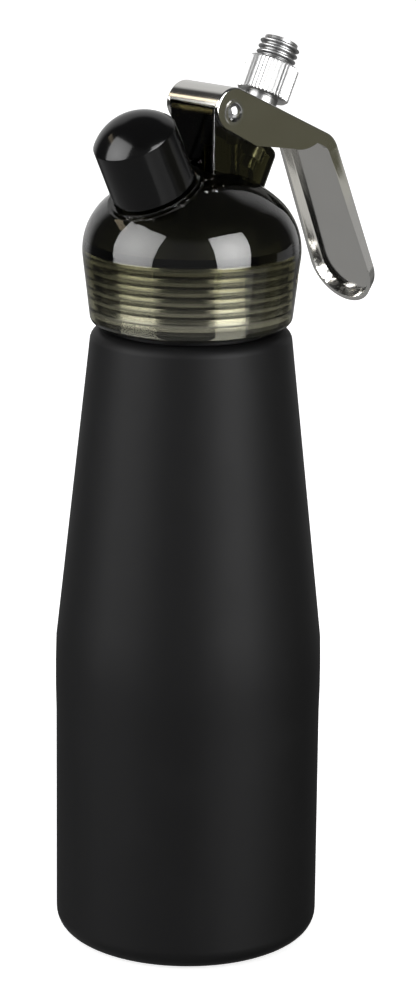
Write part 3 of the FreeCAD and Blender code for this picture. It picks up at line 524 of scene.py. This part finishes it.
@dataclass
class ThreadRing:
    """The turned metal ring that is moulded into the head, with its grooves and inner thread.

    It reaches a little into the polymer round it, so that no film of air lies between them. Below
    shaded_to it is a plain band painted dark as shade, and the deep faces of its grooves are
    painted dark as shade too. Points of a scallop and of the thread are placed by shares of the
    scallop's width and of the pitch, and a face deeper than groove_wall_share of a groove belongs
    to the groove.
    """

    outer: float = 0.02864
    bore: float = 0.0255
    foot: float = 0.1906
    top: float = 0.2125
    shaded_to: float = 0.1938
    first_groove: float = 0.1979
    pitch: float = 0.003
    grooves: int = 5
    groove_half: float = 0.00042
    groove_depth: float = 0.0007
    groove_draft: float = 0.0001
    groove_wall_share: float = 0.6
    land_swell: float = 0.00014
    scallops: int = 3
    scallop_depth: float = 0.00004
    scallop_shares: tuple[float, ...] = (0.08, 0.3, 0.5, 0.7, 0.92)
    thread_top: float = 0.2058
    thread_depth: float = 0.0008
    thread_turns: int = 5
    thread_mouth_share: float = 0.35
    thread_root_share: float = 0.1
    thread_margin: float = 0.0002

    def outside(self) -> Profile:
        """Draws the outer side: round-backed lands between square grooves.

        Returns:
            The side's corners from top to foot.
        """
        edge = self.outer - self.land_swell - self.scallop_depth
        points = [(edge, self.top)]
        for number in reversed(range(self.grooves)):
            middle = self.first_groove + number * self.pitch
            above = points[-1][1]
            upper, lower = middle + self.groove_half, middle - self.groove_half
            points += self.land(above, upper)
            points += [(edge, upper), (edge - self.groove_depth, upper - self.groove_draft)]
            points += [(edge - self.groove_depth, lower + self.groove_draft), (edge, lower)]
        points += self.land(points[-1][1], self.shaded_to)
        return points + [(edge, self.shaded_to), (edge, self.foot)]

    def land(self, above: float, below: float) -> Profile:
        """Draws a land between two grooves: a broad swell cut with small scallops.

        Args:
            above: the height of its upper end.
            below: the height of its lower end.

        Returns:
            The land's corners, downwards.
        """
        points = []
        for number in range(self.scallops):
            for share in self.scallop_shares:
                along = (number + share) / self.scallops
                swell = self.land_swell * (2 * along - 1) ** 2
                scallop = self.scallop_depth * (2 * share - 1) ** 2
                fall = swell + scallop
                points.append((self.outer - fall, above + (below - above) * along))
        return points

    def inside(self) -> Profile:
        """Draws the bore with the thread's grooves.

        Returns:
            The bore's corners from foot to top.
        """
        points = [(self.bore, self.foot)]
        first = self.thread_top - self.thread_turns * self.pitch
        for turn in range(self.thread_turns):
            middle = first + (turn + 0.5) * self.pitch
            deep = self.bore + self.thread_depth
            mouth, root = self.thread_mouth_share * self.pitch, self.thread_root_share * self.pitch
            points += [(self.bore, middle - mouth), (deep, middle - root)]
            points += [(deep, middle + root), (self.bore, middle + mouth)]
        return points + [(self.bore, self.top)]

    def build(
        self, metal: bpy.types.Material, shaded: bpy.types.Material, thread: bpy.types.Material
    ) -> None:
        """Makes the ring.

        Args:
            metal: the finish of the turned part.
            shaded: the dark finish of the grooves and of the plain band at its foot, painted shade.
            thread: the finish of the bore.
        """
        ring = turned_mesh("grooved_ring", self.outside() + self.inside())
        for material in (metal, shaded, thread):
            ring.data.materials.append(material)
        bore_limit = self.bore + self.thread_depth + self.thread_margin
        groove_limit = self.outer - self.groove_wall_share * self.groove_depth
        for face in ring.data.polygons:
            radius = math.hypot(face.center.x, face.center.y)
            # the groove floors and the foot band get the dark finish, painted shade
            dark = radius < groove_limit or face.center.z < self.shaded_to
            face.material_index = 2 if radius < bore_limit else int(dark)
        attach(ring, "head")
        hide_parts("thread_ring")
        LOG.info("grooved_ring: %s", metal.name)


@dataclass
class Head(SubAssembly):
    """The smoked head, the metal thread ring moulded into it, and the gasket.

    The gas space in the dome goes up from a round throat through the gasket's seat. Its wall is an
    arc at the shoulder and a wider one under the crown, each with its centre and its reach. Its
    walls get a dark, opaque finish as painted shade.
    """

    widest: float = 0.2125
    cavity_floor: float = 0.215
    seat_depth: float = 0.0052
    border: float = 0.0001
    throat: float = 0.0211
    shoulder_centre: float = 0.0128
    shoulder_reach: float = 0.01632
    crown_centre: float = 0.198616
    crown_reach: float = 0.0352
    crown_from: float = 0.2245
    smoke: SmokedPolymer = SmokedPolymer(
        "smoked_polymer", (0.96, 0.95, 0.9), 0.03, smear=0.02, drift=0.02, bump=0.02, ior=1.49
    )
    # painted shade: a dark, opaque finish for the walls of the gas space in the dome
    dome_shade: Finish = Finish("head_hollow", (0.006, 0.006, 0.0045), 0.4, bump=0.05, specular=0.3)
    ring: WorkedMetal = WorkedMetal(
        "ring_aluminium", (0.26, 0.259, 0.264), 0.19, grain=Grain.ROUND, bump=0.06, smear=0.03
    )
    # painted shade: a dark finish for the ring's groove floors and its foot band
    ring_shade: WorkedMetal = WorkedMetal(
        "ring_groove",
        (0.01, 0.01, 0.0095),
        0.6,
        metallic=0.0,
        specular=0.1,
        grain=Grain.ROUND,
        bump=0.06,
        smear=0.04,
    )
    thread: WorkedMetal = WorkedMetal(
        "bore_aluminium", (0.62, 0.62, 0.61), 0.25, grain=Grain.ROUND, bump=0.15, smear=0.04
    )
    rubber: Finish = Finish("silicone", (0.05, 0.05, 0.048), 0.42, bump=0.08)
    brass: WorkedMetal = WorkedMetal(
        "brass_insert", (0.42, 0.37, 0.28), 0.25, grain=Grain.ACROSS, bump=0.15
    )

    def build(self) -> None:
        """Dresses the head's pieces."""
        shell = self.dress("head_shell", self.smoke.build(self.effects))
        shell.data.materials.append(self.dome_shade.build(self.effects))
        # the walls of the gas space get the dark finish, painted shade
        for face in shell.data.polygons:
            face.material_index = int(self.in_hollow(face.center))
        ring_finishes = [kind.build(self.effects) for kind in (self.ring, self.ring_shade, self.thread)]
        ThreadRing().build(*ring_finishes)
        rubber = self.rubber.build(self.effects)
        for node in ("head_gasket", "rod_seal"):
            self.dress(node, rubber)
        self.dress("pivot_bushing", self.brass.build(self.effects))

    def in_hollow(self, place: Vector) -> bool:
        """Tells whether a place is on the walls of the gas space inside the dome, which get a dark
        finish as painted shade.

        Args:
            place: the middle of a face of the head.

        Returns:
            True on the space's walls.
        """
        if place.z < self.cavity_floor - self.seat_depth:
            return False
        radius = math.hypot(place.x, place.y)
        if place.z < self.cavity_floor - self.border:
            return radius < self.throat
        if place.z < self.crown_from:
            drop = place.z - self.widest
            return radius < self.shoulder_centre + math.sqrt(self.shoulder_reach**2 - drop**2)
        return math.hypot(radius, place.z - self.crown_centre) < self.crown_reach


@dataclass
class Valve(SubAssembly):
    """The upright valve inside the head."""

    stroke: float = 0.0019
    steel: WorkedMetal = WorkedMetal(
        "valve_steel", (0.66, 0.65, 0.63), 0.2, grain=Grain.UPRIGHT, bump=0.12
    )
    plastic: Finish = Finish("inner_polymer", (0.02, 0.02, 0.02), 0.35, bump=0.06)
    rubber: Finish = Finish("valve_silicone", (0.06, 0.06, 0.058), 0.42, bump=0.08)

    def build(self) -> None:
        """Dresses the valve's pieces."""
        steel = self.steel.build(self.effects)
        for node in ("valve_rod", "valve_poppet", "poppet_nut"):
            self.dress(node, steel)
        self.coil_under(self.dress("valve_spring", steel))
        plastic = self.plastic.build(self.effects)
        for node in ("valve_seat", "valve_cage", "rod_guide"):
            self.dress(node, plastic)
        self.dress("valve_seal", self.rubber.build(self.effects))

    def coil_under(self, spring: bpy.types.Object) -> None:
        """Gives the dressed spring a mesh of its own.

        Args:
            spring: the dressed spring.
        """
        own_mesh(spring)


@dataclass
class Lever(SubAssembly):
    """The steel lever and the rivet that it turns on."""

    edge_round: float = 0.00028
    steel: WorkedMetal = WorkedMetal(
        "lever_steel", (0.67, 0.66, 0.63), 0.13, grain=Grain.ACROSS, bump=0.06, smear=0.03
    )
    chrome: WorkedMetal = WorkedMetal(
        "rivet_steel", (0.62, 0.62, 0.61), 0.16, grain=Grain.EVEN, bump=0.03
    )

    def build(self) -> None:
        """Dresses the lever and its rivet."""
        self.dress("lever", self.steel.build(self.effects), self.edge_round)
        self.dress("pivot_rivet", self.chrome.build(self.effects))


@dataclass
class GasInlet(SubAssembly):
    """The inlet that the gas charger screws onto."""

    edge_round: float = 0.00012
    # its cavity value paints shade into the bottoms of the knurl's flutes
    aluminium: WorkedMetal = WorkedMetal(
        "inlet_aluminium", (0.43, 0.43, 0.43), 0.34, grain=Grain.EVEN, bump=0.1, cavity=0.9
    )
    steel: WorkedMetal = WorkedMetal(
        "needle_steel", (0.66, 0.65, 0.63), 0.18, grain=Grain.EVEN, bump=0.08
    )
    rubber: Finish = Finish("inlet_silicone", (0.05, 0.05, 0.048), 0.42, bump=0.08)

    def build(self) -> None:
        """Dresses the inlet's pieces."""
        aluminium = self.aluminium.build(self.effects)
        for node in ("inlet_stem", "knurled_grip"):
            self.dress(node, aluminium, self.edge_round)
        steel = self.steel.build(self.effects)
        for node in ("piercing_pin", "gas_filter", "check_ball", "check_retainer"):
            self.dress(node, steel)
        rubber = self.rubber.build(self.effects)
        for node in ("charger_gasket", "inlet_seal"):
            self.dress(node, rubber)


@dataclass
class Spout(SubAssembly):
    """The spout's adapter, the piping nozzle and the cap over them."""

    edge_round: float = 0.0002
    cap: Finish = Finish(
        "cap_polymer", (0.003, 0.003, 0.0031), 0.12, smear=0.04, bump=0.02, specular=0.28
    )
    adapter: WorkedMetal = WorkedMetal(
        "nozzle_steel", (0.74, 0.73, 0.71), 0.18, grain=Grain.ROUND, bump=0.1
    )
    rubber: Finish = Finish("nozzle_silicone", (0.05, 0.05, 0.048), 0.42, bump=0.08)

    def build(self) -> None:
        """Dresses the nozzle and its cap."""
        self.dress("spout_cap", self.cap.build(self.effects), self.edge_round)
        steel = self.adapter.build(self.effects)
        for node in ("nozzle_adapter", "star_nozzle"):
            self.dress(node, steel)
        self.dress("nozzle_seal", self.rubber.build(self.effects))


# ------------------------------------------------------------------ studio
def bearing(azimuth_deg: float, elevation_deg: float = 0.0) -> Vector:
    """Gives the direction at an azimuth and an elevation.

    Args:
        azimuth_deg: the turn from -Y towards +X.
        elevation_deg: the height over the floor's plane.

    Returns:
        A direction of length 1.
    """
    a, e = math.radians(azimuth_deg), math.radians(elevation_deg)
    return Vector((math.sin(a) * math.cos(e), -math.cos(a) * math.cos(e), math.sin(e)))


@dataclass
class StudioCamera:
    """The camera: where it stands and how it looks at the dispenser."""

    azimuth_deg: float = -45.0
    distance: float = 1.0
    height: float = 0.4107
    pitch_deg: float = 15.37
    yaw_deg: float = -0.317
    roll_deg: float = 0.62
    focal_px: float = 3455.6
    long_side_px: float = 1001.0
    sensor: float = 36.0

    def build(self) -> None:
        """Makes the camera and gives it to the scene."""
        data = bpy.data.cameras.new("studio_camera")
        data.sensor_width = self.sensor
        data.lens = self.focal_px * self.sensor / self.long_side_px
        camera = bpy.data.objects.new("studio_camera", data)
        bpy.context.scene.collection.objects.link(camera)
        turn = math.radians(self.azimuth_deg + self.yaw_deg)
        pitch, roll = math.radians(self.pitch_deg), math.radians(self.roll_deg)
        level = Vector((-math.sin(turn), math.cos(turn), 0.0))
        ahead = level * math.cos(pitch) - Vector((0, 0, math.sin(pitch)))
        right = Vector((math.cos(turn), math.sin(turn), 0.0))
        up = right.cross(ahead)
        tilted_right = right * math.cos(roll) + up * math.sin(roll)
        tilted_up = up * math.cos(roll) - right * math.sin(roll)
        place = bearing(self.azimuth_deg) * self.distance + Vector((0, 0, self.height))
        axes = Matrix((tilted_right, tilted_up, -ahead)).transposed().to_4x4()
        camera.matrix_world = Matrix.Translation(place) @ axes
        bpy.context.scene.camera = camera


OPEN_SPREAD_DEG = 180.0
WARM: Colour = (1.0, 0.84, 0.6)
STRAW: Colour = (1.0, 0.95, 0.4)


@dataclass(frozen=True)
class SoftBox:
    """A rectangular lamp that faces the dispenser.

    A spread under OPEN_SPREAD_DEG keeps its light in a cone.
    """

    name: str
    use: LampUse
    azimuth_deg: float
    elevation_deg: float
    distance: float
    width: float
    height: float
    radiance: float
    colour: Colour = (1.0, 1.0, 1.0)
    spread_deg: float = OPEN_SPREAD_DEG

    def build(self, target: Vector) -> None:
        """Makes the lamp.

        Args:
            target: the point that it faces.
        """
        data = bpy.data.lights.new(self.name, "AREA")
        data.shape = "RECTANGLE"
        data.size, data.size_y = self.width, self.height
        data.energy = self.radiance * math.pi * self.width * self.height / self.centre_gain()
        data.color = self.colour
        data.spread = math.radians(self.spread_deg)
        lamp = bpy.data.objects.new(self.name, data)
        bpy.context.scene.collection.objects.link(lamp)
        away = bearing(self.azimuth_deg, self.elevation_deg)
        lamp.location = target + away * self.distance
        lamp.rotation_mode = "QUATERNION"
        lamp.rotation_quaternion = (-away).to_track_quat("-Z", "Y")
        lamp.visible_camera = False
        lamp.visible_glossy = self.use is LampUse.MIRRORED
        lamp.visible_transmission = self.use is LampUse.MIRRORED
        lamp.visible_diffuse = self.use is LampUse.FILL

    def centre_gain(self) -> float:
        """Tells how much brighter a lamp of limited spread is at its middle than an open one.

        Returns:
            The gain, 1 for an open lamp.
        """
        if self.spread_deg >= OPEN_SPREAD_DEG:
            return 1.0
        half = math.radians(self.spread_deg / 2)
        return math.tan(half) / (math.tan(half) - half)


@dataclass(frozen=True)
class GlossZone:
    """A part of the room as gloss shows it, with soft borders.

    The spans are of the cosine of the turn from the azimuth, and of the direction's height.
    """

    azimuth_deg: float
    side: Span
    foot: Span
    top: Span
    level: float

    def share(self, sheet: NodeSheet, heading: bpy.types.NodeSocket) -> bpy.types.NodeSocket:
        """Works out the zone's light in a direction.

        Args:
            sheet: where the nodes go.
            heading: the direction.

        Returns:
            A socket that is the level inside the zone and 0 far outside it.
        """
        flat = sheet.add("ShaderNodeVectorMath", operation="MULTIPLY")
        flat.inputs[1].default_value = (1.0, 1.0, 0.0)
        level = sheet.add("ShaderNodeVectorMath", operation="NORMALIZE")
        facing = sheet.add("ShaderNodeVectorMath", operation="DOT_PRODUCT")
        facing.inputs[1].default_value = bearing(self.azimuth_deg)
        sheet.join(heading, flat.inputs[0])
        sheet.join(flat.outputs[0], level.inputs[0])
        sheet.join(level.outputs[0], facing.inputs[0])
        parts = sheet.add("ShaderNodeSeparateXYZ")
        sheet.join(heading, parts.inputs["Vector"])
        side = self.fade(sheet, facing.outputs["Value"], self.side)
        foot = self.fade(sheet, parts.outputs["Z"], self.foot)
        top = self.fade(sheet, parts.outputs["Z"], self.top)
        between = sheet.math("MULTIPLY", foot, sheet.math("SUBTRACT", 1.0, top))
        return sheet.math("MULTIPLY", sheet.math("MULTIPLY", side, between), self.level)

    @staticmethod
    def fade(sheet: NodeSheet, value: bpy.types.NodeSocket, span: Span) -> bpy.types.NodeSocket:
        """Makes a soft step over a span of a value.

        Args:
            sheet: where the node goes.
            value: the value.
            span: where the step starts and ends.

        Returns:
            A socket that goes from 0 to 1.
        """
        ramp = sheet.add("ShaderNodeMapRange", interpolation_type="SMOOTHSTEP")
        ramp.inputs["From Min"].default_value, ramp.inputs["From Max"].default_value = span
        sheet.join(value, ramp.inputs["Value"])
        return ramp.outputs["Result"]


@dataclass
class Studio:
    """Pale floor, white surround and soft boxes.

    Seen directly or through clear pieces the surround is white all round. In gloss it is a dim
    room with paler zones: the backdrop behind, the front of the room and the table.
    """

    floor_size: float = 9.0
    floor_drop: float = 0.0002
    floor_tone: float = 0.82
    floor_roughness: float = 0.9
    floor_lift: float = 0.78
    ambient: float = 0.35
    room_gloss: float = 0.045
    zones: tuple[GlossZone, ...] = (
        GlossZone(135.0, (0.58, 0.84), (-0.35, -0.05), (0.7, 0.86), 0.74),
        GlossZone(-45.0, (0.45, 0.85), (-0.45, -0.15), (0.5, 0.75), 0.26),
        GlossZone(-130.0, (-0.85, -0.45), (-2.0, -1.9), (-0.5, -0.32), 0.31),
    )
    boxes: tuple[SoftBox, ...] = (
        SoftBox("left_fill", LampUse.FILL, -107.0, 22.0, 1.3, 1.35, 1.35, 1.5),
        SoftBox("left_box", LampUse.MIRRORED, -109.5, 19.0, 1.3, 1.22, 1.43, 9.5, spread_deg=110.0),
        SoftBox("side_strip", LampUse.MIRRORED, -149.0, 34.0, 1.3, 0.5, 0.14, 2.0, WARM),
        SoftBox("right_fill", LampUse.FILL, 3.0, 22.0, 1.3, 0.84, 1.35, 1.5),
        SoftBox("right_box", LampUse.MIRRORED, -0.5, 17.5, 1.3, 0.93, 1.34, 14.5, spread_deg=100.0),
        SoftBox("right_foot", LampUse.MIRRORED, 5.0, -30.0, 1.3, 0.8, 0.75, 0.7),
        SoftBox("foot_side", LampUse.MIRRORED, 32.0, -21.0, 1.3, 0.46, 0.42, 0.22),
        SoftBox("right_wall", LampUse.MIRRORED, 46.0, -14.0, 1.3, 0.8, 1.3, 0.06, STRAW),
        SoftBox("right_panel", LampUse.MIRRORED, 69.0, -4.5, 1.3, 0.7, 0.22, 0.4),
        SoftBox("top_fill", LampUse.FILL, 135.0, 75.0, 1.4, 1.2, 1.2, 1.2),
    )

    def build(self, target: Vector) -> None:
        """Builds the floor, the surround and the lamps.

        Args:
            target: the point that the lamps face.
        """
        self.build_floor()
        self.build_surround()
        for box in self.boxes:
            box.build(target)
        bpy.context.scene.view_settings.view_transform = "Standard"

    def build_floor(self) -> None:
        """Lays a wide pale floor that keeps the dispenser's shadow."""
        half = self.floor_size / 2
        mesh = bpy.data.meshes.new("studio_floor")
        corners = [(-half, -half, 0.0), (half, -half, 0.0), (half, half, 0.0), (-half, half, 0.0)]
        mesh.from_pydata(corners, [], [(0, 1, 2, 3)])
        floor = bpy.data.objects.new("studio_floor", mesh)
        bpy.context.scene.collection.objects.link(floor)
        floor.location.z = -self.floor_drop
        floor.visible_glossy = False
        mesh.materials.append(self.floor_material())

    def floor_material(self) -> bpy.types.Material:
        """Makes the floor's paint, lifted to white where it is seen directly.

        Returns:
            The floor's material.
        """
        material = bpy.data.materials.new("studio_floor")
        material.use_nodes = True
        sheet = NodeSheet(material.node_tree)
        shader = material.node_tree.nodes["Principled BSDF"]
        shader.inputs["Base Color"].default_value = (self.floor_tone,) * 3 + (1.0,)
        shader.inputs["Roughness"].default_value = self.floor_roughness
        shader.inputs["Specular IOR Level"].default_value = 0.0
        shader.inputs["Emission Color"].default_value = (1.0, 1.0, 1.0, 1.0)
        path = sheet.add("ShaderNodeLightPath")
        straight, through = path.outputs["Is Camera Ray"], path.outputs["Is Transmission Ray"]
        lift = sheet.math("MULTIPLY", sheet.math("MAXIMUM", straight, through), self.floor_lift)
        sheet.join(lift, shader.inputs["Emission Strength"])
        return material

    def build_surround(self) -> None:
        """Makes a white surround whose mirror image is a dim room with paler zones.

        A direction's light is 1 seen directly or through clear pieces, the room's in a mirror
        image, and the ambient level for what scatters it.
        """
        world = bpy.data.worlds.new("studio")
        bpy.context.scene.world = world
        world.use_nodes = True
        sheet = NodeSheet(world.node_tree)
        sky = world.node_tree.nodes["Background"]
        sky.inputs["Color"].default_value = (1.0, 1.0, 1.0, 1.0)
        path = sheet.add("ShaderNodeLightPath")
        place = sheet.add("ShaderNodeTexCoord")
        gloss = self.room_gloss
        for zone in self.zones:
            gloss = sheet.math("MAXIMUM", gloss, zone.share(sheet, place.outputs["Generated"]))
        mirrored = sheet.math("GREATER_THAN", path.outputs["Glossy Depth"], 0.5)
        scattered = path.outputs["Is Diffuse Ray"]
        unmirrored = sheet.math("SUBTRACT", 1.0, mirrored)
        undimmed = sheet.math("MULTIPLY", unmirrored, sheet.math("SUBTRACT", 1.0, scattered))
        seen = sheet.math("ADD", sheet.math("MULTIPLY", mirrored, gloss), undimmed)
        dimmed = sheet.math("MULTIPLY", scattered, self.ambient)
        sheet.join(sheet.math("MAXIMUM", seen, dimmed), sky.inputs["Strength"])


def main() -> None:
    """Builds the sub-assemblies in order, then the studio."""
    logging.basicConfig(level=logging.INFO, format="%(message)s")
    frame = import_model()
    effects = SurfaceEffects()
    nodes = frame["nodes"]
    for kind in (Bottle, Head, Valve, Lever, GasInlet, Spout):
        kind(effects, nodes).build()
    StudioCamera().build()
    Studio().build(target=Vector(LAMP_AIM))


if __name__ == "__main__":
    main()
